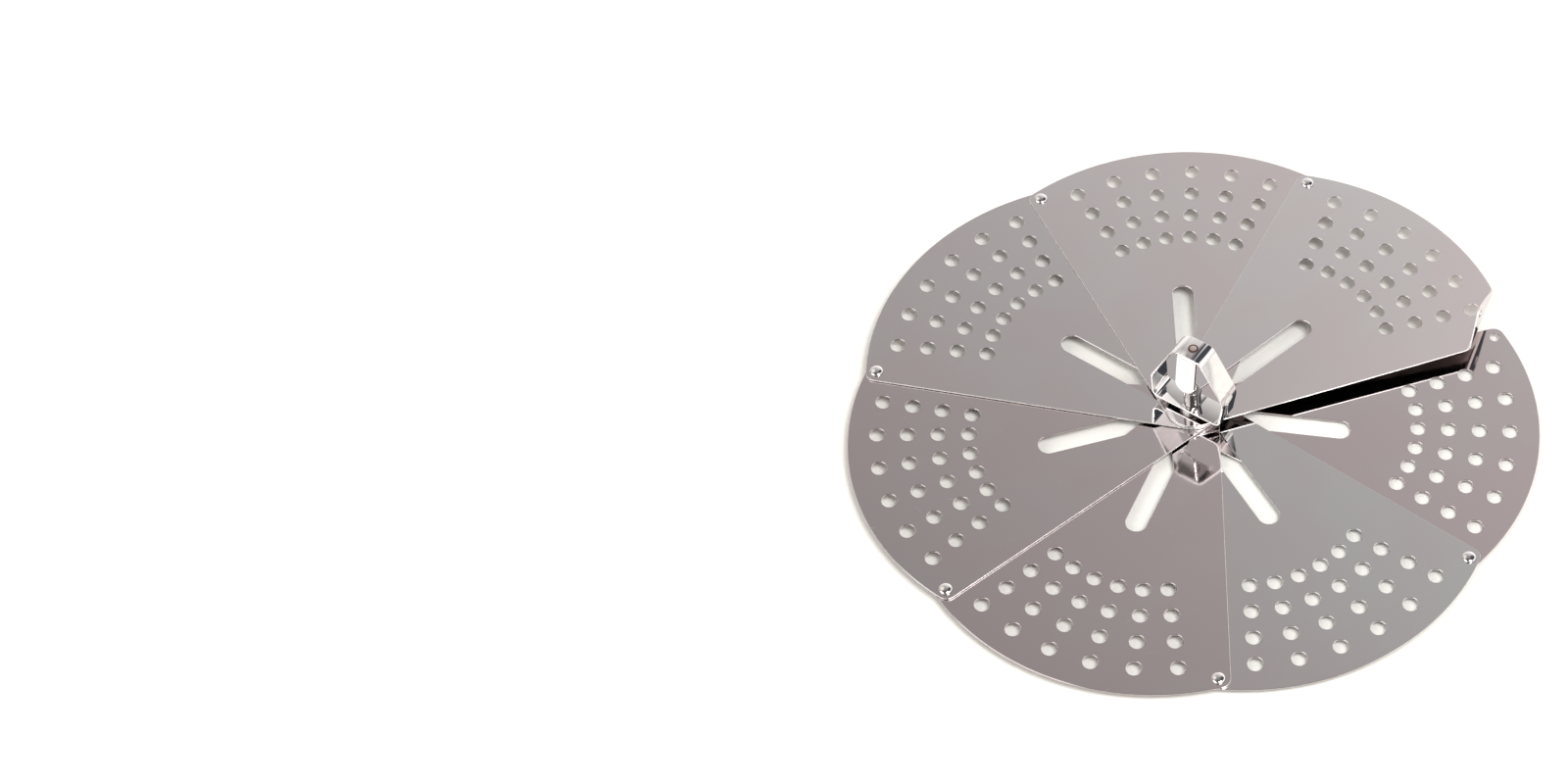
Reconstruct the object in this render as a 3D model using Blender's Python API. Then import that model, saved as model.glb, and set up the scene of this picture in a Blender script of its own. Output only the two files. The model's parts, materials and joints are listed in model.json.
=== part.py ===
"""Adjustable drop lid: seven perforated blades riveted into a fan that slides on a hub, with a loop handle.

The lid is fully opened out. The origin is on the hub's axis at the underside of its foot and +Z is up.
The handle's loop stands in the XZ plane with its finger tongue on the -Y side. Metres throughout.
"""

import math

import bmesh
import bpy
from mathutils import Matrix, Vector
from mathutils.geometry import tessellate_polygon

MM = 0.001

# The fan: blade 1 is on top, and each next blade lies one level lower and one pitch further round.
BLADES = 7
OPEN_PITCH = math.radians(51.6)
SHUT_PITCH = math.radians(72.4)
FIRST_AXIS = math.radians(75.2)
HALF_CHORD = 46.1 * MM  # rivet centre to the blade's centre line
SHEET = 0.5 * MM
LEVEL = 0.7 * MM  # height from one blade to the next
LOWEST_BLADE = 1.5 * MM  # underside of blade 7

# One blade, with u from the hub along its centre line and v across it.
OPEN_REACH = HALF_CHORD / math.tan(OPEN_PITCH / 2)  # hub to the rivets' chord, opened out
SHUT_REACH = HALF_CHORD / math.tan(SHUT_PITCH / 2)
RIM_CENTRE = OPEN_REACH - SHUT_REACH  # the rims make one round disc when the fan is shut
RIM_RADIUS = 81.5 * MM
TAIL_RADIUS = 8.65 * MM
CORNER_RADIUS = 3.4 * MM
CORNER_MARGIN = 3.9 * MM  # rivet centre to the blade's side edge
SLOT_RADIUS = 3.6 * MM
SLOT_LENGTH = 48.8 * MM  # between the centres of the slot's two round ends
HOLE_RADIUS = 2.6 * MM
HOLE_SPOKES = 6
SPOKE_STEP = math.radians(11.0)
OUTER_ROW = 71.9 * MM  # from the rim's centre
ROW_STEP = 10.0 * MM
ROWS = 4

# Blade 1's free corner is folded up as a thumb flange, and the sheet springs up a little towards it.
FOLD_DISTANCE = 7.8 * MM  # from the spare rivet hole in to where the bend starts
FOLD_SLANT = math.radians(28.2)  # fold line to the blade's centre line
FOLD_ANGLE = math.radians(90)
FOLD_RADIUS = 0.8 * MM
SPRING_RISE = 1.3 * MM  # at the spare rivet hole
SPRING_START = 5.0 * MM  # from the centre line to where the rise starts

# Rivets
RIVET_SHANK = 1.35 * MM
RIVET_HOLE = 1.6 * MM
RIVET_HEAD = 2.2 * MM
RIVET_DOME = 0.85 * MM
RIVET_SHOULDER = (1.9 * MM, 0.5 * MM)  # radius and height where the dome turns in
RIVET_CROWN = 1.1 * MM  # radius of the dome's flat top
RIVET_FOOT = 0.5 * MM
RIVET_FOOT_CHAMFER = 0.2 * MM
RIVET_GAP = 0.1 * MM
RIVET_STACK = LEVEL + SHEET  # the two blades between a rivet's heads

# Hub: bolt up through the slots, with the handle held between the washers and the barrel nut.
SHANK_RADIUS = 1.5 * MM
BORE_RADIUS = 1.75 * MM
FOOT_RADIUS = 8.0 * MM
FOOT_HEIGHT = 0.8 * MM
WASHER_RADIUS = 4.0 * MM
WASHER_THICKNESS = 0.4 * MM
HUB_GAP = 0.15 * MM
WAVE_HEIGHT = 0.35 * MM  # rise and fall of the wave washer
WAVES = 3
BARREL_RADIUS = 2.9 * MM
BARREL_HEIGHT = 6.5 * MM
THREAD_END = 0.9 * MM  # bolt standing out of the barrel nut
BOLT_CHAMFER = 0.3 * MM
NUT_CHAMFER = 0.4 * MM

# Handle: a strip bent into a loop, outer outline in X and Z above its base.
STRIP = 0.7 * MM
STRIP_WIDTH = 8.4 * MM
LOOP_HEIGHT = 28.0 * MM
LOOP_CORNERS = (  # across, up and bend radius, round the loop from the base's right corner
    (12.9 * MM, 0, 2.4 * MM),
    (14.8 * MM, 12.4 * MM, 8.0 * MM),
    (5.4 * MM, LOOP_HEIGHT, 4.0 * MM),
    (-4.9 * MM, LOOP_HEIGHT, 5.0 * MM),
    (-13.4 * MM, 10.0 * MM, 3.0 * MM),
    (-12.9 * MM, 0, 2.4 * MM),
)
TOP_MIDDLE = 0.6 * MM  # middle of the flat top, where the pin and the tongue are
TONGUE_GAP = 0.25 * MM
TONGUE_WIDTH = 7.2 * MM
TONGUE_LENGTH = 15.0 * MM
TONGUE_LEG = 6.2 * MM  # from the tongue's back end to its bend
TONGUE_ANGLE = math.radians(84)
TONGUE_BEND = 0.8 * MM
TONGUE_BACK = TONGUE_LEG + TONGUE_BEND + STRIP - STRIP_WIDTH / 2  # sets its front face flush with the loop
PIN_SHANK = 1.0 * MM
PIN_HOLE = 1.2 * MM
PIN_HEAD = 1.7 * MM
PIN_CROWN = 0.25 * MM  # top of the pin above the loop
PIN_FOOT = 0.4 * MM  # thickness of its lower head
PIN_GAP = 0.1 * MM

BOTTOM_WASHER = FOOT_HEIGHT + HUB_GAP
BLADE_TOP = LOWEST_BLADE + (BLADES - 1) * LEVEL + SHEET
TOP_WASHER = BLADE_TOP + HUB_GAP
WAVE_WASHER = TOP_WASHER + WASHER_THICKNESS + HUB_GAP
HANDLE_BASE = WAVE_WASHER + WAVE_HEIGHT + WASHER_THICKNESS + HUB_GAP
BARREL_BASE = HANDLE_BASE + STRIP + HUB_GAP
BOLT_TOP = BARREL_BASE + BARREL_HEIGHT + THREAD_END
LOOP_TOP = HANDLE_BASE + LOOP_HEIGHT
LEG_BOTTOM = LOOP_TOP - 2 * STRIP - TONGUE_GAP  # underside of the tongue's leg

HOLE_SIDES = 8
RIVET_SIDES = 12
ROUND_SIDES = 24
SLOT_STEPS = 7
TAIL_STEPS = 8
CORNER_STEPS = 4
RIM_STEPS = 16
BEND_STEPS = 3
TIP_STEPS = 10
CUT_REACH = 2 * MM  # how far a cutter reaches past the middle of its sheet


def arc(centre, radius, start, end, steps):
    """Points along an arc, both ends included."""
    turns = [start + (end - start) * i / steps for i in range(steps + 1)]
    return [Vector((centre[0] + radius * math.cos(a), centre[1] + radius * math.sin(a))) for a in turns]


def circle(centre, radius, sides):
    return arc(centre, radius, 0, 2 * math.pi, sides)[:-1]


def steel(name, shade, roughness):
    """A new steel finish, as a Principled BSDF."""
    material = bpy.data.materials.new(name)
    material.use_nodes = True
    shader = material.node_tree.nodes["Principled BSDF"]
    shader.inputs["Base Color"].default_value = (*shade, 1)
    shader.inputs["Metallic"].default_value = 1
    shader.inputs["Roughness"].default_value = roughness
    return material


def add_object(name, mesh, material, place=None):
    obj = bpy.data.objects.new(name, mesh)
    bpy.context.scene.collection.objects.link(obj)
    obj.matrix_world = place or Matrix()
    mesh.materials.clear()
    mesh.materials.append(material)
    mesh.shade_smooth()
    mesh.set_sharp_from_angle(angle=math.radians(35))
    return obj


def plate(loops, thickness):
    """A flat closed plate from z = 0 up: the first loop is its outline, the rest are holes through it."""
    points = [point for loop in loops for point in loop]
    flat = tessellate_polygon([[Vector((*p, 0)) for p in loop] for loop in loops])
    shape = bmesh.new()
    low = [shape.verts.new((p[0], p[1], 0)) for p in points]
    high = [shape.verts.new((p[0], p[1], thickness)) for p in points]
    for face in flat:
        shape.faces.new([low[i] for i in face])
        shape.faces.new([high[i] for i in reversed(face)])
    start = 0
    for loop in loops:
        for i in range(len(loop)):
            a, b = start + i, start + (i + 1) % len(loop)
            shape.faces.new((low[a], low[b], high[b], high[a]))
        start += len(loop)
    bmesh.ops.recalc_face_normals(shape, faces=shape.faces)
    return shape


def bend(shape, origin, outward, angle, radius, thickness):
    """Folds what lies beyond a line in the plate: up for a positive angle, down for a negative one."""
    origin, outward = Vector((*origin, 0)), Vector((*outward, 0)).normalized()
    turn, up = abs(angle), math.copysign(1, angle)
    neutral = radius + thickness / 2
    for i in range(BEND_STEPS + 1):
        bmesh.ops.bisect_plane(
            shape,
            geom=shape.verts[:] + shape.edges[:] + shape.faces[:],
            plane_co=origin + outward * (neutral * turn * i / BEND_STEPS),
            plane_no=outward,
            dist=1e-7,
        )
    for vert in shape.verts:
        beyond = (vert.co - origin).dot(outward)
        if beyond <= 0:
            continue
        depth = thickness - vert.co.z if up > 0 else vert.co.z  # from the face inside the bend
        around = min(beyond / neutral, turn)
        straight = max(0, beyond - neutral * turn)
        reach = (radius + depth) * math.sin(around) + straight * math.cos(turn)
        rise = radius - (radius + depth) * math.cos(around) + straight * math.sin(turn)
        inner_face = thickness if up > 0 else 0
        vert.co += outward * (reach - beyond)
        vert.co.z = inner_face + up * rise


def mesh_of(shape, name):
    mesh = bpy.data.meshes.new(name)
    shape.to_mesh(mesh)
    shape.free()
    return mesh


def turned(name, profile, sides, material, place=None, lift=None):
    """A piece turned about Z. The profile runs up its outside, and down its bore if it has one."""
    shape = bmesh.new()
    rings = []
    for radius, height in profile:
        if radius == 0:
            rings.append([shape.verts.new((0, 0, height))] * sides)
            continue
        ring = circle((0, 0), radius, sides)
        rings.append([shape.verts.new((p.x, p.y, height + (lift(p) if lift else 0))) for p in ring])
    closed = profile[0][0] > 0
    for i in range(len(rings) if closed else len(rings) - 1):
        lower, upper = rings[i], rings[(i + 1) % len(rings)]
        for j in range(sides):
            corners = [lower[j], lower[(j + 1) % sides], upper[(j + 1) % sides], upper[j]]
            face = list(dict.fromkeys(corners))
            shape.faces.new(face)
    bmesh.ops.recalc_face_normals(shape, faces=shape.faces)
    return add_object(name, mesh_of(shape, name), material, place)


def washer(name, base, material, lift=None):
    top = base + WASHER_THICKNESS
    ring = [(BORE_RADIUS, base), (WASHER_RADIUS, base), (WASHER_RADIUS, top), (BORE_RADIUS, top)]
    return turned(name, ring, ROUND_SIDES, material, lift=lift)


def blade_outline():
    """Rim arc, corner, straight side and round tail, then the same mirrored."""
    rivet = Vector((OPEN_REACH, HALF_CHORD))
    side_angle = OPEN_PITCH / 2 - math.asin((TAIL_RADIUS - CORNER_MARGIN) / rivet.length)
    normal = Vector((-math.sin(side_angle), math.cos(side_angle)))
    along = Vector((math.cos(side_angle), math.sin(side_angle)))
    # The corner's centre is one corner radius inside both the side edge and the rim.
    near = normal * (TAIL_RADIUS - CORNER_RADIUS) - Vector((RIM_CENTRE, 0))
    half = near.dot(along)
    reach = math.sqrt(half**2 - near.length_squared + (RIM_RADIUS - CORNER_RADIUS) ** 2) - half
    corner = normal * (TAIL_RADIUS - CORNER_RADIUS) + along * reach
    rim_end = math.atan2(corner.y, corner.x - RIM_CENTRE)
    side_turn = math.pi / 2 + side_angle
    rim = arc((RIM_CENTRE, 0), RIM_RADIUS, -rim_end, rim_end, RIM_STEPS)
    upper = arc(corner, CORNER_RADIUS, rim_end, side_turn, CORNER_STEPS)[1:]
    tail = arc((0, 0), TAIL_RADIUS, side_turn, 2 * math.pi - side_turn, TAIL_STEPS)
    lower = [Vector((p.x, -p.y)) for p in reversed(upper)]
    return rim + upper + tail + lower


def blade_holes():
    slot = arc((SLOT_LENGTH, 0), SLOT_RADIUS, -math.pi / 2, math.pi / 2, SLOT_STEPS)
    slot += arc((0, 0), SLOT_RADIUS, math.pi / 2, 3 * math.pi / 2, SLOT_STEPS)
    holes = [slot]
    holes += [circle((OPEN_REACH, side * HALF_CHORD), RIVET_HOLE, RIVET_SIDES) for side in (1, -1)]
    for row in range(ROWS):
        radius = OUTER_ROW - row * ROW_STEP
        for spoke in range(HOLE_SPOKES):
            turn = (spoke - (HOLE_SPOKES - 1) / 2) * SPOKE_STEP
            centre = (RIM_CENTRE + radius * math.cos(turn), radius * math.sin(turn))
            holes.append(circle(centre, HOLE_RADIUS, HOLE_SIDES))
    return holes


def blade_place(number):
    """Blade number's frame: u outward from the hub, and z = 0 at the blade's underside."""
    height = LOWEST_BLADE + (BLADES - number) * LEVEL
    turn = FIRST_AXIS + (number - 1) * OPEN_PITCH
    return Matrix.Translation((0, 0, height)) @ Matrix.Rotation(turn, 4, "Z")


def pivot_of(number):
    """Matrix of the joint that moves a blade: its rivet towards blade 4, or the hub's axis for blade 4."""
    if number == 4:
        return blade_place(4)
    side = 1 if number < 4 else -1
    return blade_place(number) @ Matrix.Translation((OPEN_REACH, side * HALF_CHORD, 0))


def blade(number, material):
    shape = plate([blade_outline()] + blade_holes(), SHEET)
    if number == 1:
        outward = Vector((math.sin(FOLD_SLANT), -math.cos(FOLD_SLANT)))
        on_fold = Vector((OPEN_REACH, -HALF_CHORD)) - outward * FOLD_DISTANCE
        bend(shape, on_fold, outward, FOLD_ANGLE, FOLD_RADIUS, SHEET)
        for vert in shape.verts:
            beyond = max(0, -vert.co.y - SPRING_START)
            vert.co.z += SPRING_RISE * (beyond / (HALF_CHORD - SPRING_START)) ** 2
    place = pivot_of(number)
    shape.transform(place.inverted() @ blade_place(number))
    name = f"blade_{number}"
    return add_object(name, mesh_of(shape, name), material, place)


def rivet(number, material):
    """The rivet through the blade and the one below it; z = 0 is the lower blade's underside."""
    below, above = -RIVET_GAP, RIVET_STACK + RIVET_GAP
    profile = [
        (0, below - RIVET_FOOT),
        (RIVET_HEAD - RIVET_FOOT_CHAMFER, below - RIVET_FOOT),
        (RIVET_HEAD, below - RIVET_FOOT + RIVET_FOOT_CHAMFER),
        (RIVET_HEAD, below),
        (RIVET_SHANK, below),
        (RIVET_SHANK, above),
        (RIVET_HEAD, above),
        (RIVET_SHOULDER[0], above + RIVET_SHOULDER[1]),
        (RIVET_CROWN, above + RIVET_DOME),
        (0, above + RIVET_DOME),
    ]
    place = blade_place(number) @ Matrix.Translation((OPEN_REACH, HALF_CHORD, -LEVEL))
    return turned(f"rivet_{number}_{number + 1}", profile, RIVET_SIDES, material, place)


def centre_bolt(material):
    profile = [
        (0, 0),
        (FOOT_RADIUS - BOLT_CHAMFER, 0),
        (FOOT_RADIUS, BOLT_CHAMFER),
        (FOOT_RADIUS, FOOT_HEIGHT),
        (SHANK_RADIUS, FOOT_HEIGHT),
        (SHANK_RADIUS, BOLT_TOP - BOLT_CHAMFER),
        (SHANK_RADIUS - BOLT_CHAMFER, BOLT_TOP),
        (0, BOLT_TOP),
    ]
    return turned("centre_bolt", profile, ROUND_SIDES, material)


def barrel_nut(material):
    top = BARREL_BASE + BARREL_HEIGHT
    profile = [
        (BORE_RADIUS, BARREL_BASE),
        (BARREL_RADIUS, BARREL_BASE),
        (BARREL_RADIUS, top - NUT_CHAMFER),
        (BARREL_RADIUS - NUT_CHAMFER, top),
        (BORE_RADIUS, top),
    ]
    return turned("barrel_nut", profile, ROUND_SIDES, material)


def loop_bends():
    """Centre, radius and turns of each bend, round the loop from the base's right corner."""
    corners = [(Vector((across, up)), radius) for across, up, radius in LOOP_CORNERS]
    bends = []
    for i, (corner, radius) in enumerate(corners):
        before = (corner - corners[i - 1][0]).normalized()
        after = (corners[(i + 1) % len(corners)][0] - corner).normalized()
        inward = (after - before).normalized()
        centre = corner + inward * (radius / math.sqrt((1 + before.dot(after)) / 2))
        start = math.atan2(-before.x, before.y)
        turn = before.angle_signed(after)
        bends.append((centre, radius, start, start - turn))
    return bends


def handle_loop(material, cutters):
    outer, inner = [], []
    for centre, radius, start, end in loop_bends():
        outer += arc(centre, radius, start, end, BEND_STEPS)
        inner += arc(centre, radius - STRIP, start, end, BEND_STEPS)
    shape = bmesh.new()
    rows = []
    for outline, y in ((outer, -0.5), (outer, 0.5), (inner, 0.5), (inner, -0.5)):
        rows.append([shape.verts.new((p.x, y * STRIP_WIDTH, p.y)) for p in outline])
    count = len(outer)
    for i, row in enumerate(rows):
        after = rows[(i + 1) % len(rows)]
        for j in range(count):
            shape.faces.new((row[j], row[(j + 1) % count], after[(j + 1) % count], after[j]))
    bmesh.ops.recalc_face_normals(shape, faces=shape.faces)
    place = Matrix.Translation((0, 0, HANDLE_BASE))
    loop = add_object("handle_loop", mesh_of(shape, "handle_loop"), material, place)
    for name, radius, across, height in cutters:
        rod = [(0, -CUT_REACH), (radius, -CUT_REACH), (radius, CUT_REACH), (0, CUT_REACH)]
        cutter = turned(name, rod, RIVET_SIDES, material, Matrix.Translation((across, 0, height)))
        cutter.hide_render = True
        cutter.display_type = "WIRE"
        cut = loop.modifiers.new(name, "BOOLEAN")
        cut.operation = "DIFFERENCE"
        cut.object = cutter
    return loop


def handle_tongue(material):
    """A finger tongue: its flat leg lies under the loop's top, and it turns down at the front edge."""
    half = TONGUE_WIDTH / 2
    bend_length = (TONGUE_BEND + STRIP / 2) * TONGUE_ANGLE
    tip = TONGUE_LEG + bend_length + TONGUE_LENGTH - TONGUE_BEND - half
    end = arc((tip, 0), half, -math.pi / 2, math.pi / 2, TIP_STEPS)
    leg_hole = circle((TONGUE_BACK, 0), PIN_HOLE, RIVET_SIDES)
    shape = plate([[Vector((0, -half))] + end + [Vector((0, half))], leg_hole], STRIP)
    bend(shape, (TONGUE_LEG, 0), (1, 0), -TONGUE_ANGLE, TONGUE_BEND, STRIP)
    place = Matrix.Translation((TOP_MIDDLE, TONGUE_BACK, LEG_BOTTOM)) @ Matrix.Rotation(-math.pi / 2, 4, "Z")
    shape.transform(place)
    return add_object("handle_tongue", mesh_of(shape, "handle_tongue"), material)


def handle_pin(material):
    """The small rivet that holds the tongue under the loop's top."""
    below, above = LEG_BOTTOM - PIN_GAP, LOOP_TOP + PIN_GAP
    profile = [
        (0, below - PIN_FOOT),
        (PIN_HEAD, below - PIN_FOOT),
        (PIN_HEAD, below),
        (PIN_SHANK, below),
        (PIN_SHANK, above),
        (PIN_HEAD, above),
        (PIN_HEAD, LOOP_TOP + PIN_CROWN),
        (0, LOOP_TOP + PIN_CROWN),
    ]
    return turned("handle_pin", profile, RIVET_SIDES, material, Matrix.Translation((TOP_MIDDLE, 0, 0)))


def build():
    for obj in list(bpy.data.objects):
        bpy.data.objects.remove(obj)
    sheet_steel = (0.56, 0.53, 0.52)
    bright_steel = (0.72, 0.71, 0.70)
    for number in range(1, BLADES + 1):
        blade(number, steel(f"blade_{number}_steel", sheet_steel, 0.22))
    for number in range(1, BLADES):
        rivet(number, steel(f"rivet_{number}_steel", bright_steel, 0.15))
    centre_bolt(steel("bolt_steel", bright_steel, 0.25))
    barrel_nut(steel("nut_steel", bright_steel, 0.12))
    washer("lower_washer", BOTTOM_WASHER, steel("lower_washer_steel", sheet_steel, 0.3))
    washer("upper_washer", TOP_WASHER, steel("upper_washer_steel", sheet_steel, 0.3))
    washer("wave_washer", WAVE_WASHER + WAVE_HEIGHT / 2, steel("spring_steel", sheet_steel, 0.35),
           lift=lambda p: WAVE_HEIGHT / 2 * math.cos(WAVES * math.atan2(p.y, p.x)))
    holes = [("base_hole", BORE_RADIUS, 0, HANDLE_BASE + STRIP / 2),
             ("top_hole", PIN_HOLE, TOP_MIDDLE, LOOP_TOP - STRIP / 2)]
    handle_loop(steel("handle_steel", bright_steel, 0.06), holes)
    handle_tongue(steel("tongue_steel", bright_steel, 0.06))
    handle_pin(steel("pin_steel", bright_steel, 0.2))


build()
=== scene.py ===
"""Looks for the adjustable drop lid: finely built steel pieces, studio floor, light and camera, in metres."""

import json
import math

import bmesh
import bpy
from mathutils import Matrix, Vector
from mathutils.geometry import tessellate_polygon


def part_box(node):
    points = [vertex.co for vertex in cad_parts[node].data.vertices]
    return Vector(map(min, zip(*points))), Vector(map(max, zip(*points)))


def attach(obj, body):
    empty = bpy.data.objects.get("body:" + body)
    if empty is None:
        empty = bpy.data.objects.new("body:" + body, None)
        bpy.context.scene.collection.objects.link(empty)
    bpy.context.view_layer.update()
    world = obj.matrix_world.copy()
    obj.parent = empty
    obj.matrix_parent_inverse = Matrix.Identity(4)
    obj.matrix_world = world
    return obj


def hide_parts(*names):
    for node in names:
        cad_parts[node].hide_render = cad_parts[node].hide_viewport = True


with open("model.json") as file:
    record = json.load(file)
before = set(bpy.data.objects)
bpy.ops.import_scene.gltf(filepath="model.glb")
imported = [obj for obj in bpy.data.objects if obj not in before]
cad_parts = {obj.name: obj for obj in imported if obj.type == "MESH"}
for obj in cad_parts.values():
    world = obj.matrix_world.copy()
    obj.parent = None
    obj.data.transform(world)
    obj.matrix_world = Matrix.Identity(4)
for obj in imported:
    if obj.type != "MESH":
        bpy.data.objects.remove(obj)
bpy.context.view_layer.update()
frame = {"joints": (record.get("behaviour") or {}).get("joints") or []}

MM = 0.001
JOINTS = {joint["name"]: joint for joint in frame["joints"]}

# The fan's layout, from the frame: rivets on one circle, and blade 4 along the slide.
BLADES = 7
RIVETS = {k: Vector(JOINTS[f"hinge_{k}_{k + 1}"]["pos_m"]) for k in range(1, BLADES)}
PITCH = RIVETS[3].xy.angle_signed(RIVETS[4].xy) * -1
SLIDE = Vector(JOINTS["fan_slide"]["axis"])
FOURTH_AXIS = math.atan2(SLIDE.y, SLIDE.x)
REACH = RIVETS[3].xy.length * math.cos(PITCH / 2)  # hub to the rivets' chord
HALF_CHORD = RIVETS[3].xy.length * math.sin(PITCH / 2)
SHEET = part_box("blade_4")[1].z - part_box("blade_4")[0].z

# One blade, with u from the hub along its centre line and v across it.
SHUT_PITCH = math.radians(72.4)
RIM_CENTRE = REACH - HALF_CHORD / math.tan(SHUT_PITCH / 2)
RIM_RADIUS = 81.5 * MM
TAIL_RADIUS = 8.65 * MM
CORNER_RADIUS = 3.4 * MM
CORNER_MARGIN = 3.9 * MM
SLOT_RADIUS = 3.6 * MM
SLOT_LENGTH = 48.8 * MM
HOLE_RADIUS = 2.6 * MM
RIVET_HOLE = 1.6 * MM
HOLE_SPOKES = 6
SPOKE_STEP = math.radians(11.0)
OUTER_ROW = 71.9 * MM
ROW_STEP = 10.0 * MM
ROWS = 4
EDGE = 0.08 * MM  # broken edge of the cut sheet
RIM_LEAN = 0.6  # a blade's edge counts as rim, not side, where it turns this far across the blade; only side edges get the edge steel and its painted highlight, and the rim's edges keep the sheet steel

# Blade 1's thumb flange, and the rise of the sheet towards it.
FOLD_DISTANCE = 7.8 * MM
FOLD_SLANT = math.radians(28.2)
FOLD_ANGLE = math.radians(90)
FOLD_RADIUS = 0.8 * MM
SPRING_RISE = 1.3 * MM
SPRING_START = 5.0 * MM
SPRING_STRIPS = 14
FOLD_STEPS = 16

# Rivets and hub
RIVET_SHANK = 1.35 * MM
RIVET_DOME = 0.85 * MM  # head above the sheets
RIVET_BRIM = 0.1 * MM  # straight side of the head, under its dome
RIVET_FOOT = 0.5 * MM
RIVET_FOOT_ROUND = 0.25 * MM
ROUND_INSET = 0.08 * MM  # of a foot's rounding, at its middle
RIVET_WAVES = (0.00001, 500)  # unevenness of its polish: depth in metres, and scale
SHANK_RADIUS = 1.5 * MM
BORE_RADIUS = 1.75 * MM
FOOT_HEIGHT = 0.8 * MM
FOOT_ROUND = 0.3 * MM
FOOT_CHAMFER = 0.1 * MM
WASHER_THICKNESS = 0.4 * MM
WASHER_WAVES = 3
THREAD_PITCH = 0.5 * MM
THREAD_DEPTH = 0.22 * MM
THREAD_STOP = 0.35 * MM  # from the bolt's top down to where no new thread starts
BOLT_CHAMFER = 0.3 * MM
NUT_CHAMFER = 0.1 * MM
NUT_ROUND = 0.45 * MM
NUT_BORE_CHAMFER = 0.15 * MM

# Handle: a strip bent into a loop, outer outline in X and Z above its base, and the tongue under its top.
STRIP = 0.7 * MM
STRIP_EDGE = 0.14 * MM  # rounding of its edges
LOOP_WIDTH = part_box("handle_loop")[1].y * 2
LOOP_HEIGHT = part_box("handle_loop")[1].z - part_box("handle_loop")[0].z
LOOP_CORNERS = (  # across, up and bend radius, round the loop from the base's right corner
    (12.9 * MM, 0, 2.4 * MM),
    (14.8 * MM, 12.4 * MM, 8.0 * MM),
    (5.4 * MM, LOOP_HEIGHT, 4.0 * MM),
    (-4.9 * MM, LOOP_HEIGHT, 5.0 * MM),
    (-13.4 * MM, 10.0 * MM, 3.0 * MM),
    (-12.9 * MM, 0, 2.4 * MM),
)
TOP_MIDDLE = 0.6 * MM  # middle of the flat top, where the pin and the tongue are
CROWN_HALF = 2.6 * MM  # half width of the top's crown
CROWN_SLOPE = 0.2  # fall of the crown at its sides
TONGUE_LEG = 6.2 * MM
TONGUE_LENGTH = 15.0 * MM
TONGUE_BEND = 0.8 * MM
TONGUE_ANGLE = math.radians(84)
TONGUE_CORNER = 0.8 * MM
TONGUE_STEPS = 12
STRIP_WAVES = (0.00004, 110)  # unevenness of its polish: depth in metres, and scale
PIN_HOLE = 1.2 * MM
PIN_SHANK = 1.0 * MM
PIN_FOOT = 0.4 * MM
PIN_CHAMFER = 0.1 * MM
PIN_CROWN = 0.2 * MM
PIN_ROUND = 0.12 * MM  # how far in the crown's edge is rounded
PIN_RING = 1.2 * MM  # where the brown ring on its crown starts

# Steels: colour and roughness, except for the blades' own
# the cut edges' steel is whitened beyond bare steel: a painted highlight on the blades' side edges
BLADE_EDGE = ((0.95, 0.93, 0.91, 1), 0.45)
RIVET_STEEL = ((0.74, 0.72, 0.71, 1), 0.15)
HUB_STEEL = ((0.66, 0.64, 0.62, 1), 0.2)
NUT_STEEL = ((0.42, 0.40, 0.39, 1), 0.16)
SPRING_STEEL = ((0.5, 0.47, 0.45, 1), 0.3)
HANDLE_STEEL = ((0.80, 0.785, 0.775, 1), 0.045)
BLADE_WARMTH = (  # how mauve each sheet is at its two sides, the clockwise one first
    (0.65, 0.2), (0.6, 0.4), (0.15, 0.65), (0.9, 0.75), (1.0, 0.95), (0.45, 0.0), (1.0, 0.75))
BLADE_PAINTED_SHADE = (1.12, 1.09, 1.01, 0.93, 0.935, 0.985, 0.92)  # painted shade: how much each sheet's colour is lightened or darkened, for how its slight tilt catches the light
COOL_STEEL = (0.61, 0.610, 0.612)
WARM_STEEL = (0.625, 0.556, 0.558)
SCRATCH = (0.88, 0.86, 0.85, 1)
PIN_BRIGHT, PIN_BROWN = (0.70, 0.60, 0.56, 1), (0.13, 0.07, 0.055, 1)

# Studio
FLOOR_HALF = 4.0
PAPER = ((0.94, 0.925, 0.885, 1), (0.91, 0.895, 0.855, 1))
KEY_AZIMUTH, KEY_ELEVATION = -50, 61  # degrees: plan angle from the camera's right, and height
KEY_DISTANCE, KEY_SIZE, KEY_POWER = 1.6, 0.62, 18.5
SKY_LOW, SKY_HIGH = -0.5, 1.5  # what the sky's ramp covers: height less a share of how far right
SKY_LEAN = 0.55
SKY_STOPS = (  # along the ramp, shade
    (0.0, 1.9), (0.3, 1.35), (0.62, 0.92), (0.78, 0.61), (0.95, 0.29), (1.3, 0.12))
SKY_TINT = (1.0, 0.962, 0.952)
CARDS = (  # white boards and dark cloths round the lid: azimuth, elevation, half width, softness, shade
    (-90, 56, 34, 14, (0.14, 0.12, 0.11)),
    (208, 38, 22, 6, (2.6, 2.6, 2.55)),
    (35, 54, 16, 10, (0.075, 0.082, 0.1)),
    (133, 50, 12, 8, (1.25, 1.2, 1.12)),
)

# Camera: how the lid was looked at, in the row frame.
CAMERA_LENS = 78.23
CAMERA_SHIFT = -0.25
CAMERA_TURN = math.radians(34.0)
CAMERA_TILT = math.radians(51.157)
CAMERA_ROLL = math.radians(0.999)
CAMERA_OFFSET = Vector((5.256, -7.500, 1119.9)) * MM  # hub from the camera's axis: right, up and away
LOOK_HEIGHT = 1.5 * MM


def arc(centre, radius, start, end, steps):
    """Points along an arc, both ends included."""
    turns = [start + (end - start) * i / steps for i in range(steps + 1)]
    return [Vector((centre[0] + radius * math.cos(a), centre[1] + radius * math.sin(a))) for a in turns]


def circle(centre, radius, sides):
    return arc(centre, radius, 0, 2 * math.pi, sides)[:-1]


# Meshes


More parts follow.
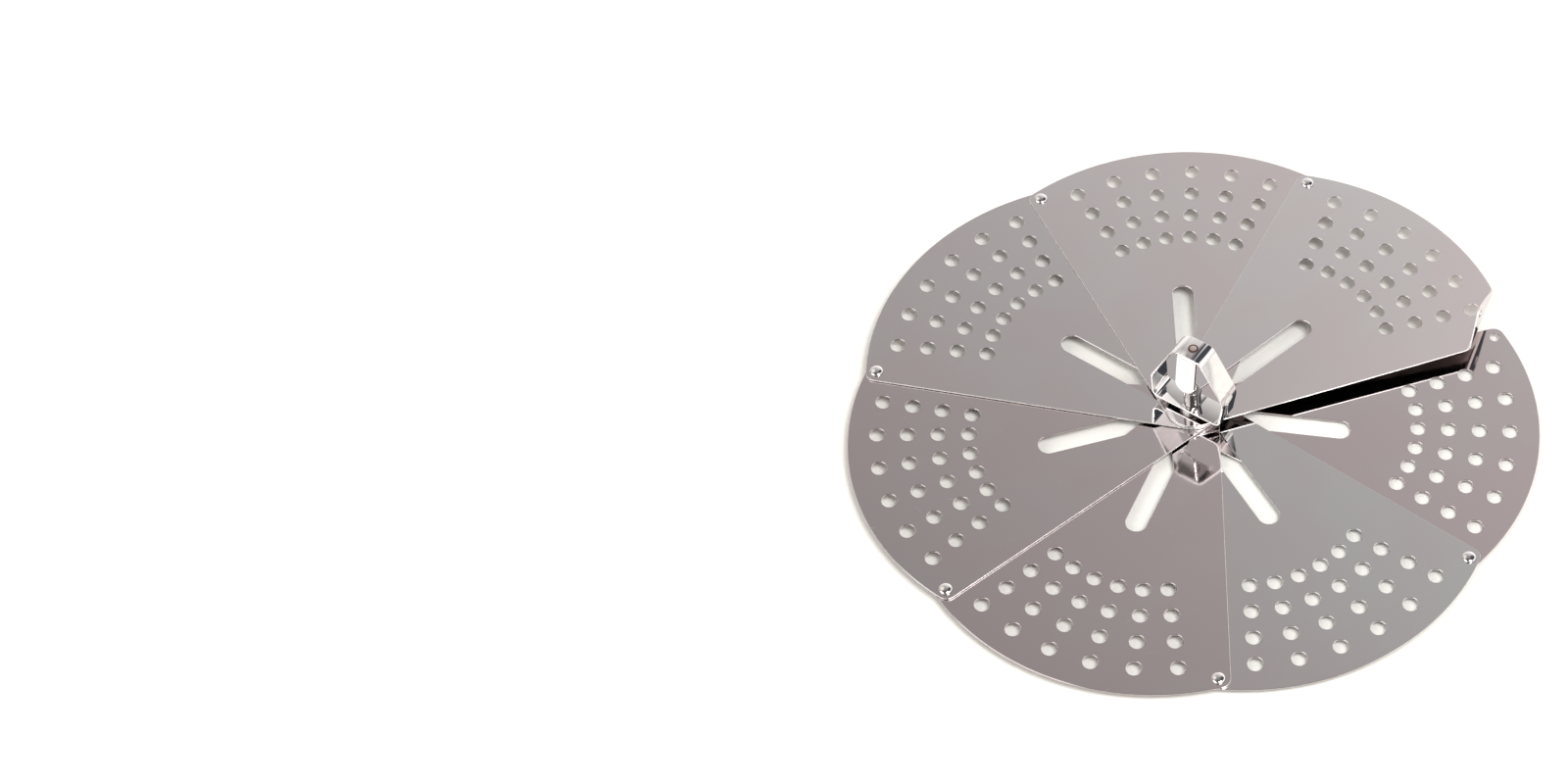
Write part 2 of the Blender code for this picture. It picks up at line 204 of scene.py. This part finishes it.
def add_piece(name, shape, body, node, materials, place=None, sharp=35):
    """A finished piece that stands for a CAD node and rides on its body."""
    mesh = bpy.data.meshes.new(name)
    shape.to_mesh(mesh)
    shape.free()
    obj = bpy.data.objects.new(name, mesh)
    bpy.context.scene.collection.objects.link(obj)
    obj.matrix_world = place or Matrix()
    for material in materials:
        mesh.materials.append(material)
    mesh.shade_smooth()
    mesh.set_sharp_from_angle(angle=math.radians(sharp))
    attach(obj, body)
    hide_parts(node)


def inset(loop, distance):
    """The loop moved to its left by a distance, along the normals at its points."""
    moved = []
    for i, point in enumerate(loop):
        before = (point - loop[i - 1]).normalized()
        after = (loop[(i + 1) % len(loop)] - point).normalized()
        along = (before + after).normalized()
        normal = Vector((-along.y, along.x))
        moved.append(point + normal * (distance / max(0.5, along.dot(after))))
    return moved


def plate(outline, holes, thickness):
    """A flat closed plate from z = 0 up; its side edges take the second material, which on the blades is the
    edge steel with its painted highlight. Loops run anticlockwise.
    """
    loops = [outline] + [hole[::-1] for hole in holes]
    faces_loops = [inset(loop, EDGE) for loop in loops]
    flat = tessellate_polygon([[Vector((*p, 0)) for p in loop] for loop in faces_loops])
    shape = bmesh.new()
    levels = []
    rounds = ((faces_loops, 0), (loops, EDGE), (loops, thickness - EDGE), (faces_loops, thickness))
    for source, height in rounds:
        levels.append([shape.verts.new((p[0], p[1], height)) for loop in source for p in loop])
    for face in flat:
        shape.faces.new([levels[0][i] for i in face])
        shape.faces.new([levels[3][i] for i in reversed(face)])
    start = 0
    for loop in loops:
        for i in range(len(loop)):
            a, b = start + i, start + (i + 1) % len(loop)
            along = Vector(loop[(i + 1) % len(loop)]) - Vector(loop[i])
            # side edges of the outline take the edge steel and its painted highlight; the rim and the hole
            # walls stay in the sheet steel
            bright = loop is outline and along.y < RIM_LEAN * along.length
            for low, high in zip(levels, levels[1:]):
                shape.faces.new((low[a], low[b], high[b], high[a])).material_index = bright
        start += len(loop)
    bmesh.ops.recalc_face_normals(shape, faces=shape.faces)
    return shape


def cut(shape, point, normal):
    """Adds edges where a plane crosses the shape."""
    everything = shape.verts[:] + shape.edges[:] + shape.faces[:]
    bmesh.ops.bisect_plane(shape, geom=everything, plane_co=point, plane_no=normal, dist=1e-7)


def bend(shape, origin, outward, angle, radius, thickness, steps):
    """Folds what lies beyond a line in the plate: up for a positive angle, down for a negative one."""
    origin, outward = Vector((*origin, 0)), Vector((*outward, 0)).normalized()
    turn, up = abs(angle), math.copysign(1, angle)
    neutral = radius + thickness / 2
    for i in range(steps + 1):
        cut(shape, origin + outward * (neutral * turn * i / steps), outward)
    for vert in shape.verts:
        beyond = (vert.co - origin).dot(outward)
        if beyond <= 0:
            continue
        depth = thickness - vert.co.z if up > 0 else vert.co.z
        around = min(beyond / neutral, turn)
        straight = max(0, beyond - neutral * turn)
        reach = (radius + depth) * math.sin(around) + straight * math.cos(turn)
        rise = radius - (radius + depth) * math.cos(around) + straight * math.sin(turn)
        vert.co += outward * (reach - beyond)
        vert.co.z = (thickness if up > 0 else 0) + up * rise


def shoulder(radius, top, across, drop, steps):
    """A quarter ellipse from a turned piece's side in to its top: (radius, height) points after the first."""
    turns = [math.pi / 2 * step / steps for step in range(1, steps + 1)]
    return [(radius - across * (1 - math.cos(a)), top - drop * (1 - math.sin(a))) for a in turns]


def turned(profile, sides):
    """A shape turned about Z. The profile runs up its outside, and down its bore if it has one."""
    shape = bmesh.new()
    rings = []
    for radius, height in profile:
        if radius == 0:
            rings.append([shape.verts.new((0, 0, height))] * sides)
        else:
            rings.append([shape.verts.new((p.x, p.y, height)) for p in circle((0, 0), radius, sides)])
    closed = profile[0][0] > 0
    for i in range(len(rings) if closed else len(rings) - 1):
        lower, upper = rings[i], rings[(i + 1) % len(rings)]
        for j in range(sides):
            corners = [lower[j], lower[(j + 1) % sides], upper[(j + 1) % sides], upper[j]]
            shape.faces.new(list(dict.fromkeys(corners)))
    bmesh.ops.recalc_face_normals(shape, faces=shape.faces)
    return shape


# Materials


def new_material(name):
    """A steel material with its node tree and its shader."""
    material = bpy.data.materials.new(name)
    material.use_nodes = True
    tree = material.node_tree
    shader = tree.nodes["Principled BSDF"]
    shader.inputs["Metallic"].default_value = 1
    return material, tree, shader


def add_node(tree, kind, settings=None, **inputs):
    """A node fed with numbers or other nodes' outputs: Input_Name for a name, i2 for a place in the list."""
    made = tree.nodes.new(kind)
    for key, value in (settings or {}).items():
        setattr(made, key, value)
    for key, value in inputs.items():
        numbered = key[0] == "i" and key[1:].isdigit()
        socket = made.inputs[int(key[1:]) if numbered else key.replace("_", " ")]
        if isinstance(value, bpy.types.NodeSocket):
            tree.links.new(value, socket)
        else:
            socket.default_value = value
    return made


def piece_coordinates(tree, squeeze=(1, 1, 1), turn=0.0):
    """Coordinates fixed to the piece, in metres, along axes turned about Z; what they draw is squeezed."""
    where = add_node(tree, "ShaderNodeTexCoord")
    scale = [1 / part for part in squeeze]
    mapped = add_node(tree, "ShaderNodeMapping", {"vector_type": "TEXTURE"}, Vector=where.outputs["Object"],
                      Rotation=(0, 0, turn), Scale=scale)
    return mapped.outputs["Vector"]


def noise(tree, vector, scale, detail=2.0):
    return add_node(tree, "ShaderNodeTexNoise", Vector=vector, Scale=scale, Detail=detail).outputs["Fac"]


def remap(tree, value, low, high, to_low, to_high):
    """value from low..high to to_low..to_high, clamped."""
    ranged = add_node(tree, "ShaderNodeMapRange", {"clamp": True}, Value=value, From_Min=low, From_Max=high,
                      To_Min=to_low, To_Max=to_high)
    return ranged.outputs["Result"]


def maths(tree, operation, a, b):
    return add_node(tree, "ShaderNodeMath", {"operation": operation}, i0=a, i1=b).outputs["Value"]


def mix_colours(tree, share, a, b):
    """a where the share is 0, b where it is 1."""
    mixed = add_node(tree, "ShaderNodeMix", {"data_type": "RGBA"}, i0=share, i6=a, i7=b)
    return mixed.outputs[2]


def connect(tree, shader, colour, roughness, height, bump_depth):
    """Feeds the shader; bump_depth is how many metres a height of 1 stands for."""
    tree.links.new(colour, shader.inputs["Base Color"])
    tree.links.new(roughness, shader.inputs["Roughness"])
    bump = add_node(tree, "ShaderNodeBump", Height=height, Distance=bump_depth)
    tree.links.new(bump.outputs["Normal"], shader.inputs["Normal"])


def darker(colour, share):
    return (*(share * part for part in colour[:3]), 1)


def axis_distance(tree, where):
    """Distance from the piece's Z axis, and height along it."""
    split = add_node(tree, "ShaderNodeSeparateXYZ", Vector=where)
    flat = add_node(tree, "ShaderNodeCombineXYZ", X=split.outputs["X"], Y=split.outputs["Y"])
    length = add_node(tree, "ShaderNodeVectorMath", {"operation": "LENGTH"}, i0=flat.outputs["Vector"])
    return length.outputs["Value"], split.outputs["Z"]


def scratches(tree, turn, scale, rarity):
    """Short fine scratches in one direction, 1 on a scratch and 0 elsewhere."""
    lines = noise(tree, piece_coordinates(tree, (1, 16, 1), turn), scale, 1.0)
    return remap(tree, lines, rarity, rarity + 0.03, 0, 1)


def blade_steel(number, warmth, shade):
    """Bright rolled sheet: cloudy from warm to cool grey, with a fine grain, specks and a few scratches; the
    whole sheet is lightened or darkened by its painted shade.
    """
    material, tree, shader = new_material(f"blade_{number}_sheet_steel")
    lie = blade_turn(number)
    clouds = noise(tree, piece_coordinates(tree, (1, 1.6, 1), lie), 26, 1.5)
    across = add_node(tree, "ShaderNodeSeparateXYZ", Vector=piece_coordinates(tree, turn=lie)).outputs["Y"]
    share = remap(tree, across, -HALF_CHORD, HALF_CHORD, *warmth)
    share = maths(tree, "ADD", share, remap(tree, clouds, 0.35, 0.65, -0.2, 0.2))
    # painted shade: both steels are scaled by the sheet's shade, lighter or darker for how the sheet's tilt
    # catches the light
    colour = mix_colours(tree, share, darker(COOL_STEEL, shade), darker(WARM_STEEL, shade))
    grain = noise(tree, piece_coordinates(tree, (1, 45, 1), lie), 90, 3.0)
    fine = noise(tree, piece_coordinates(tree, (9, 1, 1), lie), 700, 2.0)
    marks = remap(tree, noise(tree, piece_coordinates(tree), 900, 1.0), 0.79, 0.82, 0, 1)
    for turn, scale in ((0.9 * number, 90), (2.1 + number, 70)):
        marks = maths(tree, "MAXIMUM", marks, scratches(tree, turn, scale, 0.79))
    toned = mix_colours(tree, maths(tree, "MULTIPLY", marks, 0.3), colour, SCRATCH)
    rough = remap(tree, grain, 0.3, 0.7, 0.05, 0.085)
    rough = maths(tree, "ADD", rough, maths(tree, "MULTIPLY", marks, 0.12))
    height = maths(tree, "ADD", grain, maths(tree, "MULTIPLY", fine, 0.3))
    connect(tree, shader, toned, rough, height, 0.0000012)
    return material


def sheared_and_highlit_steel(name, colour, roughness):
    """Cut edges of sheet: rough, with fine lines across, and bright, partly from their own cut finish and
    partly as a painted highlight.
    """
    material, tree, shader = new_material(name)
    lines = noise(tree, piece_coordinates(tree, (1, 1, 0.2)), 2500, 2.0)
    toned = mix_colours(tree, remap(tree, lines, 0.35, 0.65, 0, 1), darker(colour, 0.75), colour)
    rough = remap(tree, lines, 0.3, 0.7, roughness * 0.85, roughness * 1.15)
    connect(tree, shader, toned, rough, lines, 0.00001)
    return material


def crown(tree):
    """Height of the loop's top, a little lower towards its two bends."""
    across = add_node(tree, "ShaderNodeSeparateXYZ", Vector=piece_coordinates(tree)).outputs["X"]
    start, end = TOP_MIDDLE - CROWN_HALF, TOP_MIDDLE + CROWN_HALF
    off = remap(tree, across, start, end, -CROWN_HALF, CROWN_HALF)
    return maths(tree, "MULTIPLY", maths(tree, "MULTIPLY", off, off), -CROWN_SLOPE / (2 * CROWN_HALF))


def polished_steel(name, colour, roughness, waves, crowned=False):
    """Mirror-polished steel: slow waves in its face, faint smears and hair scratches."""
    material, tree, shader = new_material(name)
    smears = noise(tree, piece_coordinates(tree, (1, 1, 2.5), 0.6), 160, 3.0)
    hairs = scratches(tree, 1.1, 70, 0.74)
    rough = remap(tree, smears, 0.35, 0.75, roughness * 0.6, roughness * 1.8)
    rough = maths(tree, "ADD", rough, maths(tree, "MULTIPLY", hairs, 0.12))
    toned = mix_colours(tree, remap(tree, smears, 0.3, 0.7, 0, 1), colour, darker(colour, 0.9))
    wave_depth, wave_scale = waves
    height = maths(tree, "MULTIPLY", noise(tree, piece_coordinates(tree), wave_scale, 1.0), wave_depth)
    if crowned:
        height = maths(tree, "ADD", height, crown(tree))
    connect(tree, shader, toned, rough, height, bump_depth=1.0)
    return material


def turned_steel(name, colour, roughness):
    """Turned steel: fine tool rings round the axis and an uneven sheen."""
    material, tree, shader = new_material(name)
    where = add_node(tree, "ShaderNodeTexCoord").outputs["Object"]
    climb = maths(tree, "ADD", *axis_distance(tree, where))
    tool = add_node(tree, "ShaderNodeTexNoise", {"noise_dimensions": "1D"}, W=climb, Scale=2600.0, Detail=2.0)
    rings = tool.outputs["Fac"]
    sheen = noise(tree, where, 420, 2.0)
    rough = remap(tree, maths(tree, "ADD", rings, sheen), 0.7, 1.3, roughness * 0.7, roughness * 1.4)
    toned = mix_colours(tree, remap(tree, sheen, 0.3, 0.7, 0, 1), colour, darker(colour, 0.82))
    connect(tree, shader, toned, rough, rings, 0.000004)
    return material


def pin_steel():
    """The pin's crown: bright in the middle, with the brown ring that peening left round its rim."""
    material, tree, shader = new_material("pin_steel")
    where = add_node(tree, "ShaderNodeTexCoord").outputs["Object"]
    radius, _ = axis_distance(tree, where)
    uneven = maths(tree, "MULTIPLY", noise(tree, where, 900, 2.0), 0.0003)
    rim = remap(tree, maths(tree, "ADD", radius, uneven), PIN_RING, PIN_RING + 0.15 * MM, 0, 1)
    colour = mix_colours(tree, rim, PIN_BRIGHT, PIN_BROWN)
    rough = remap(tree, rim, 0, 1, 0.16, 0.42)
    connect(tree, shader, colour, rough, noise(tree, where, 1400, 2.0), 0.000006)
    return material


def floor_paper():
    """Plain white paper with a barely seen grain."""
    material, tree, shader = new_material("floor_paper")
    shader.inputs["Metallic"].default_value = 0
    where = add_node(tree, "ShaderNodeTexCoord").outputs["Object"]
    fibres = noise(tree, where, 900, 3.0)
    colour = mix_colours(tree, remap(tree, fibres, 0.3, 0.7, 0, 1), *PAPER)
    tree.links.new(colour, shader.inputs["Base Color"])
    shader.inputs["Specular IOR Level"].default_value = 0.1
    shader.inputs["Roughness"].default_value = 0.9
    return material


# Blades


def blade_outline():
    """Rim arc, corner, straight side and round tail, then the same mirrored."""
    rivet = Vector((REACH, HALF_CHORD))
    side_angle = PITCH / 2 - math.asin((TAIL_RADIUS - CORNER_MARGIN) / rivet.length)
    normal = Vector((-math.sin(side_angle), math.cos(side_angle)))
    along = Vector((math.cos(side_angle), math.sin(side_angle)))
    near = normal * (TAIL_RADIUS - CORNER_RADIUS) - Vector((RIM_CENTRE, 0))
    half = near.dot(along)
    reach = math.sqrt(half**2 - near.length_squared + (RIM_RADIUS - CORNER_RADIUS) ** 2) - half
    corner = normal * (TAIL_RADIUS - CORNER_RADIUS) + along * reach
    rim_end = math.atan2(corner.y, corner.x - RIM_CENTRE)
    side_turn = math.pi / 2 + side_angle
    rim = arc((RIM_CENTRE, 0), RIM_RADIUS, -rim_end, rim_end, 120)
    upper = arc(corner, CORNER_RADIUS, rim_end, side_turn, 16)[1:]
    tail = arc((0, 0), TAIL_RADIUS, side_turn, 2 * math.pi - side_turn, 48)
    lower = [Vector((p.x, -p.y)) for p in reversed(upper)]
    return rim + upper + tail + lower


def blade_holes():
    slot = arc((SLOT_LENGTH, 0), SLOT_RADIUS, -math.pi / 2, math.pi / 2, 28)
    slot += arc((0, 0), SLOT_RADIUS, math.pi / 2, 3 * math.pi / 2, 28)
    holes = [slot]
    holes += [circle((REACH, side * HALF_CHORD), RIVET_HOLE, 32) for side in (1, -1)]
    for row in range(ROWS):
        radius = OUTER_ROW - row * ROW_STEP
        for spoke in range(HOLE_SPOKES):
            turn = (spoke - (HOLE_SPOKES - 1) / 2) * SPOKE_STEP
            middle = (RIM_CENTRE + radius * math.cos(turn), radius * math.sin(turn))
            holes.append(circle(middle, HOLE_RADIUS, 40))
    return holes


def blade_turn(number):
    """Direction of a blade's centre line."""
    return FOURTH_AXIS + (number - 4) * PITCH


def blade(number, materials):
    shape = plate(blade_outline(), blade_holes(), SHEET)
    if number == 1:
        outward = Vector((math.sin(FOLD_SLANT), -math.cos(FOLD_SLANT)))
        on_fold = Vector((REACH, -HALF_CHORD)) - outward * FOLD_DISTANCE
        for strip in range(SPRING_STRIPS):
            across = SPRING_START + (HALF_CHORD - SPRING_START) * strip / SPRING_STRIPS
            cut(shape, (0, -across, 0), (0, 1, 0))
        bend(shape, on_fold, outward, FOLD_ANGLE, FOLD_RADIUS, SHEET, FOLD_STEPS)
        for vert in shape.verts:
            beyond = max(0, -vert.co.y - SPRING_START)
            vert.co.z += SPRING_RISE * (beyond / (HALF_CHORD - SPRING_START)) ** 2
    shape.transform(Matrix.Rotation(blade_turn(number), 4, "Z"))
    name = f"blade_{number}"
    place = Matrix.Translation((0, 0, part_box(name)[0].z))
    add_piece(f"{name}_sheet", shape, name, name, materials, place, sharp=30)


# Rivets, hub and handle


def rivet(number, material):
    """A polished rivet: domed head over the two sheets, flat foot under them."""
    name = f"rivet_{number}_{number + 1}"
    low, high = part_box(name)
    height = high.z - low.z
    head = (high.x - low.x) / 2
    brim = height - RIVET_DOME
    profile = [(0, 0), (head - RIVET_FOOT_ROUND, 0), (head - ROUND_INSET, ROUND_INSET)]
    profile += [(head, RIVET_FOOT_ROUND), (head, RIVET_FOOT), (RIVET_SHANK, RIVET_FOOT)]
    profile += [(RIVET_SHANK, brim), (head, brim), (head, brim + RIVET_BRIM)]
    profile += shoulder(head, height, head, RIVET_DOME - RIVET_BRIM, 12)[:-1]
    profile.append((0, height))
    place = Matrix.Translation((*RIVETS[number].xy, low.z))
    body = f"blade_{number}"
    add_piece(f"{name}_dome", turned(profile, 48), body, name, [material], place)


def centre_bolt(material):
    """Flat foot, shank, and a threaded end standing out of the barrel nut."""
    low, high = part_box("centre_bolt")
    foot_radius = (high.x - low.x) / 2
    profile = [(0, 0), (foot_radius - FOOT_ROUND, 0), (foot_radius - ROUND_INSET, FOOT_CHAMFER)]
    profile += [(foot_radius, FOOT_ROUND), (foot_radius, FOOT_HEIGHT - FOOT_CHAMFER)]
    profile += [(foot_radius - FOOT_CHAMFER, FOOT_HEIGHT), (SHANK_RADIUS, FOOT_HEIGHT)]
    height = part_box("barrel_nut")[1].z - THREAD_PITCH
    while height < high.z - THREAD_STOP:
        profile += [(SHANK_RADIUS, height), (SHANK_RADIUS - THREAD_DEPTH, height + THREAD_PITCH / 2)]
        height += THREAD_PITCH
    profile += [(SHANK_RADIUS, high.z - BOLT_CHAMFER), (SHANK_RADIUS - BOLT_CHAMFER, high.z), (0, high.z)]
    add_piece("centre_bolt_turned", turned(profile, 72), "hub", "centre_bolt", [material])


def barrel_nut(material):
    low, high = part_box("barrel_nut")
    radius = (high.x - low.x) / 2
    profile = [(BORE_RADIUS, low.z), (radius - NUT_CHAMFER, low.z), (radius, low.z + NUT_CHAMFER)]
    profile += [(radius, high.z - NUT_ROUND)] + shoulder(radius, high.z, NUT_ROUND, NUT_ROUND, 6)
    profile += [(BORE_RADIUS + NUT_BORE_CHAMFER, high.z), (BORE_RADIUS, high.z - NUT_BORE_CHAMFER)]
    add_piece("barrel_nut_turned", turned(profile, 72), "hub", "barrel_nut", [material])


def washer(name, material, waves=0):
    """A flat ring, or one that rises and falls a few times round the axis."""
    low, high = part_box(name)
    outside = (high.x - low.x) / 2
    ring = [(BORE_RADIUS, 0), (outside - EDGE, 0), (outside, EDGE), (outside, WASHER_THICKNESS - EDGE)]
    ring += [(outside - EDGE, WASHER_THICKNESS), (BORE_RADIUS, WASHER_THICKNESS)]
    shape = turned(ring, 96)
    rise = high.z - low.z - WASHER_THICKNESS
    for vert in shape.verts:
        wave = 1 + math.cos(waves * math.atan2(vert.co.y, vert.co.x)) if waves else 0
        vert.co.z += low.z + rise / 2 * wave
    add_piece(f"{name}_ring", shape, "hub", name, [material])


def loop_path():
    """Points of the loop's outer face with their outward normals, from the base's right corner round."""
    corners = [(Vector((across, up)), radius) for across, up, radius in LOOP_CORNERS]
    path = []
    for i, (corner, radius) in enumerate(corners):
        before = (corner - corners[i - 1][0]).normalized()
        after = (corners[(i + 1) % len(corners)][0] - corner).normalized()
        inward = (after - before).normalized()
        centre = corner + inward * (radius / math.sqrt((1 + before.dot(after)) / 2))
        start = math.atan2(-before.x, before.y)
        turn = before.angle_signed(after)
        for point in arc(centre, radius, start, start - turn, 14):
            path.append((point, (point - centre).normalized()))
    return path


def strip_section(half):
    """The strip's cross-section as (across, depth) points, its four corners rounded."""
    section = []
    middles = ((half - STRIP_EDGE, STRIP_EDGE), (half - STRIP_EDGE, STRIP - STRIP_EDGE),
               (STRIP_EDGE - half, STRIP - STRIP_EDGE), (STRIP_EDGE - half, STRIP_EDGE))
    for i, middle in enumerate(middles):
        section += arc(middle, STRIP_EDGE, math.pi / 2 * (i - 1), math.pi / 2 * i, 4)
    return section


def handle_loop(material):
    """The strip swept round its path, with rounded edges."""
    half = LOOP_WIDTH / 2
    shape = bmesh.new()
    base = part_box("handle_loop")[0].z
    rings = []
    for point, normal in loop_path():
        ring = []
        for across, depth in strip_section(half):
            inward = point - normal * depth
            ring.append(shape.verts.new((inward.x, across, base + inward.y)))
        rings.append(ring)
    for i, ring in enumerate(rings):
        after = rings[(i + 1) % len(rings)]
        for j in range(len(ring)):
            k = (j + 1) % len(ring)
            shape.faces.new((ring[j], ring[k], after[k], after[j]))
    bmesh.ops.recalc_face_normals(shape, faces=shape.faces)
    add_piece("handle_loop_polished", shape, "handle", "handle_loop", [material], sharp=50)


def handle_tongue(material):
    """A finger tongue: its flat leg lies under the loop's top, and it turns down at the front edge."""
    low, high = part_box("handle_tongue")
    half = (high.x - low.x) / 2
    bend_length = (TONGUE_BEND + STRIP / 2) * TONGUE_ANGLE
    tip = TONGUE_LEG + bend_length + TONGUE_LENGTH - TONGUE_BEND - half
    round_end = arc((tip, 0), half, -math.pi / 2, math.pi / 2, 40)
    back = TONGUE_CORNER
    corner_low = arc((back, back - half), back, math.pi, 1.5 * math.pi, 6)
    corner_high = arc((back, half - back), back, math.pi / 2, math.pi, 6)
    leg_hole = circle((high.y, 0), PIN_HOLE, 32)
    shape = plate(corner_low + round_end + corner_high, [leg_hole], STRIP)
    bend(shape, (TONGUE_LEG, 0), (1, 0), -TONGUE_ANGLE, TONGUE_BEND, STRIP, TONGUE_STEPS)
    place = Matrix.Translation((TOP_MIDDLE, high.y, high.z - STRIP)) @ Matrix.Rotation(-math.pi / 2, 4, "Z")
    both = [material, material]
    add_piece("handle_tongue_polished", shape, "handle", "handle_tongue", both, place)


def handle_pin(material):
    """The small rivet through the loop's top: a low rounded crown above, a flat foot below."""
    low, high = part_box("handle_pin")
    radius = (high.x - low.x) / 2
    height = high.z - low.z
    profile = [(0, 0), (radius - PIN_CHAMFER, 0), (radius, PIN_CHAMFER), (radius, PIN_FOOT)]
    profile += [(PIN_SHANK, PIN_FOOT), (PIN_SHANK, height - PIN_CROWN), (radius, height - PIN_CROWN)]
    profile += shoulder(radius, height, PIN_ROUND, PIN_CROWN, 6) + [(0, height)]
    place = Matrix.Translation((TOP_MIDDLE, 0, low.z))
    shape = turned(profile, 48)
    add_piece("handle_pin_crown", shape, "handle", "handle_pin", [material], place)


# Studio


def floor():
    """A wide plain sheet on which the foot stands."""
    shape = bmesh.new()
    bmesh.ops.create_grid(shape, x_segments=1, y_segments=1, size=FLOOR_HALF)
    mesh = bpy.data.meshes.new("floor")
    shape.to_mesh(mesh)
    shape.free()
    obj = bpy.data.objects.new("floor", mesh)
    bpy.context.scene.collection.objects.link(obj)
    mesh.materials.append(floor_paper())


def direction(azimuth, elevation):
    """Unit vector towards a plan angle from the camera's right and a height, both in degrees."""
    angle, tilt = CAMERA_TURN + math.radians(azimuth), math.radians(elevation)
    return Vector((math.cos(angle) * math.cos(tilt), math.sin(angle) * math.cos(tilt), math.sin(tilt)))


def dot(tree, a, b):
    return add_node(tree, "ShaderNodeVectorMath", {"operation": "DOT_PRODUCT"}, i0=a, i1=b).outputs["Value"]


def sky():
    """Surroundings: white low down and to the right, falling to dark overhead, with boards and cloths."""
    world = bpy.data.worlds.new("studio")
    bpy.context.scene.world = world
    world.use_nodes = True
    tree = world.node_tree
    where = add_node(tree, "ShaderNodeTexCoord").outputs["Generated"]
    lean = Vector((0, 0, 1)) - direction(0, 0) * SKY_LEAN
    climb = remap(tree, dot(tree, where, lean), SKY_LOW, SKY_HIGH, 0, 1)
    ramp = add_node(tree, "ShaderNodeValToRGB", Fac=climb)
    stops = ramp.color_ramp.elements
    stops.remove(stops[1])
    stops[0].color = (*SKY_TINT, 1)
    for along, shade in SKY_STOPS:
        stop = stops.new((along - SKY_LOW) / (SKY_HIGH - SKY_LOW))
        stop.color = (*(shade * part for part in SKY_TINT), 1)
    colour = ramp.outputs["Color"]
    for azimuth, elevation, half, softness, shade in CARDS:
        near = dot(tree, where, direction(azimuth, elevation))
        outside, inside = math.cos(math.radians(half + softness)), math.cos(math.radians(half))
        colour = mix_colours(tree, remap(tree, near, outside, inside, 0, 1), colour, (*shade, 1))
    tree.links.new(colour, tree.nodes["Background"].inputs["Color"])


def key_light():
    """A soft square light that looks at the hub."""
    light = bpy.data.lights.new("key", "AREA")
    light.shape = "SQUARE"
    light.size = KEY_SIZE
    light.energy = KEY_POWER
    obj = bpy.data.objects.new("key", light)
    bpy.context.scene.collection.objects.link(obj)
    away = direction(KEY_AZIMUTH, KEY_ELEVATION)
    obj.location = away * KEY_DISTANCE
    obj.rotation_mode = "QUATERNION"
    obj.rotation_quaternion = away.to_track_quat("Z", "Y")


def camera():
    data = bpy.data.cameras.new("camera")
    data.lens = CAMERA_LENS
    data.shift_x = CAMERA_SHIFT
    obj = bpy.data.objects.new("camera", data)
    bpy.context.scene.collection.objects.link(obj)
    aim = Matrix.Rotation(CAMERA_TURN, 4, "Z") @ Matrix.Rotation(math.pi / 2 - CAMERA_TILT, 4, "X")
    right, up, away = CAMERA_OFFSET
    spot = Vector((0, 0, LOOK_HEIGHT)) + aim @ Vector((-right, -up, away))
    obj.matrix_world = Matrix.Translation(spot) @ aim @ Matrix.Rotation(-CAMERA_ROLL, 4, "Z")
    bpy.context.scene.camera = obj


def build():
    bpy.context.scene.view_settings.view_transform = "Standard"
    blade_edge = sheared_and_highlit_steel("blade_edge_highlit_steel", *BLADE_EDGE)
    for number, (warmth, shade) in enumerate(zip(BLADE_WARMTH, BLADE_PAINTED_SHADE), 1):
        blade(number, [blade_steel(number, warmth, shade), blade_edge])
    rivet_steel = polished_steel("rivet_steel", *RIVET_STEEL, RIVET_WAVES)
    for number in RIVETS:
        rivet(number, rivet_steel)
    hub_steel = turned_steel("hub_steel", *HUB_STEEL)
    centre_bolt(hub_steel)
    barrel_nut(turned_steel("nut_steel", *NUT_STEEL))
    washer("lower_washer", hub_steel)
    washer("upper_washer", hub_steel)
    washer("wave_washer", turned_steel("spring_steel", *SPRING_STEEL), WASHER_WAVES)
    handle_loop(polished_steel("loop_steel", *HANDLE_STEEL, STRIP_WAVES, crowned=True))
    handle_tongue(polished_steel("tongue_steel", *HANDLE_STEEL, STRIP_WAVES))
    handle_pin(pin_steel())
    floor()
    sky()
    key_light()
    camera()


build()
